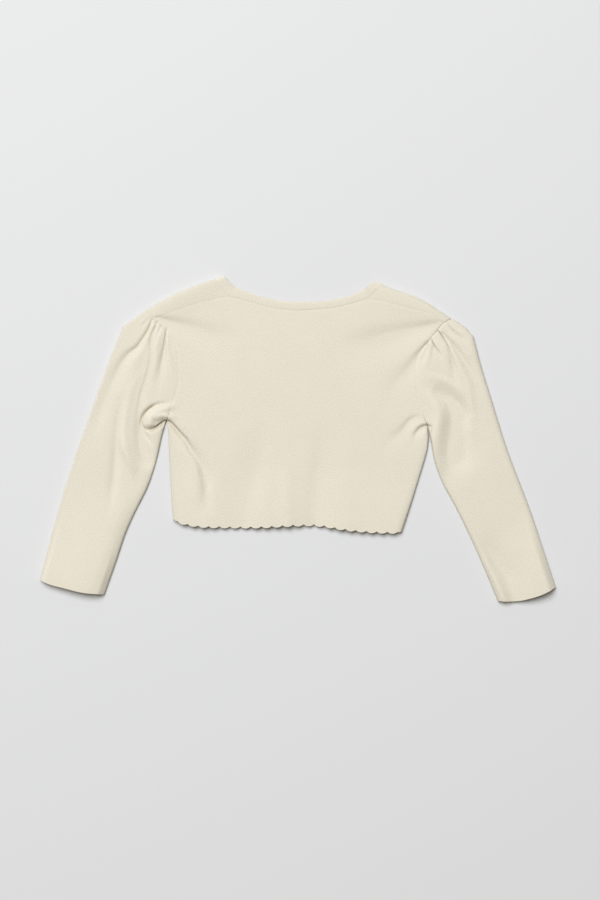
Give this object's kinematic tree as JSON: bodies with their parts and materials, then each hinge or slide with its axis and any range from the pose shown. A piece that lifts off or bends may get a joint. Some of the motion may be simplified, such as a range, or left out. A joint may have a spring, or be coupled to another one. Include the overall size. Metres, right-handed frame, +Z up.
{
  "type": "cardigan",
  "caption": "Short cream knitted cardigan for a small child, laid flat on its face, with long gathered sleeves and a scalloped hem.",
  "frame": {"origin": "on the table under the middle of the garment's outline", "axes": "+X across the shoulders towards the wearer's right sleeve, +Y from the hem to the neck, +Z up, with the back of the garment on top"},
  "size_m": [0.5411, 0.3416, 0.0062],
  "materials": {
    "back_panel": "fine plain knit, matt",
    "front_left": "fine plain knit, matt",
    "front_right": "fine plain knit, matt",
    "sleeve_left": "fine plain knit, matt",
    "sleeve_right": "fine plain knit, matt",
    "neck_band_back": "double knit band, matt",
    "front_band_left": "double knit band, matt",
    "front_band_right": "double knit band, matt"
  },
  "bodies": {
    "root": {"back_panel": "back_panel", "front_left": "front_left", "front_right": "front_right", "sleeve_left": "sleeve_left", "sleeve_right": "sleeve_right", "neck_band_back": "neck_band_back", "front_band_left": "front_band_left", "front_band_right": "front_band_right"}
  },
  "joints": []
}
